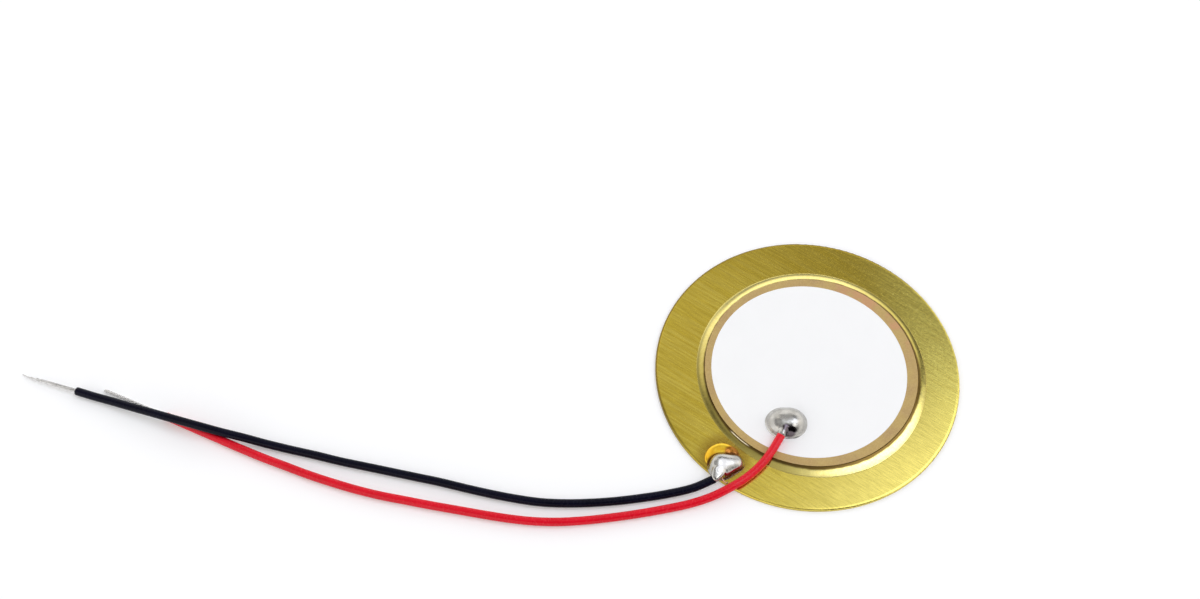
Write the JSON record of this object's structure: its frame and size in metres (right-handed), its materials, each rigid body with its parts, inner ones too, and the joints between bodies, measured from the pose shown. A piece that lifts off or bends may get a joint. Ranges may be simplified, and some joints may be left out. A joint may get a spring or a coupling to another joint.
{
  "type": "piezo disc",
  "caption": "Thin brass plate with a silvered ceramic disc bonded on it and red and black leads soldered on; it bends to turn voltage into sound, or knocks into voltage.",
  "frame": {"origin": "centre of the brass plate's underside", "axes": "+Z through the layers, towards the ceramic; the leads run off towards -X"},
  "size_m": [0.1077, 0.0372, 0.0019],
  "materials": {
    "brass": "finely brushed, half gloss",
    "adhesive": "clear, glossy",
    "ceramic": "matt",
    "silver": "matt, fired silver paste",
    "solder": "bright",
    "flux": "clear amber, glossy",
    "red_pvc": "half gloss",
    "black_pvc": "half gloss",
    "tinned_copper": "half gloss, stranded"
  },
  "bodies": {
    "root": {"brass_plate": "brass", "adhesive_bond": "adhesive", "back_electrode": "silver", "ceramic_disc": "ceramic", "top_electrode": "silver", "silver_joint": "solder", "plate_joint": "solder", "flux_residue": "flux", "red_insulation": "red_pvc", "red_conductor": "tinned_copper", "black_insulation": "black_pvc", "black_conductor": "tinned_copper"}
  },
  "joints": []
}
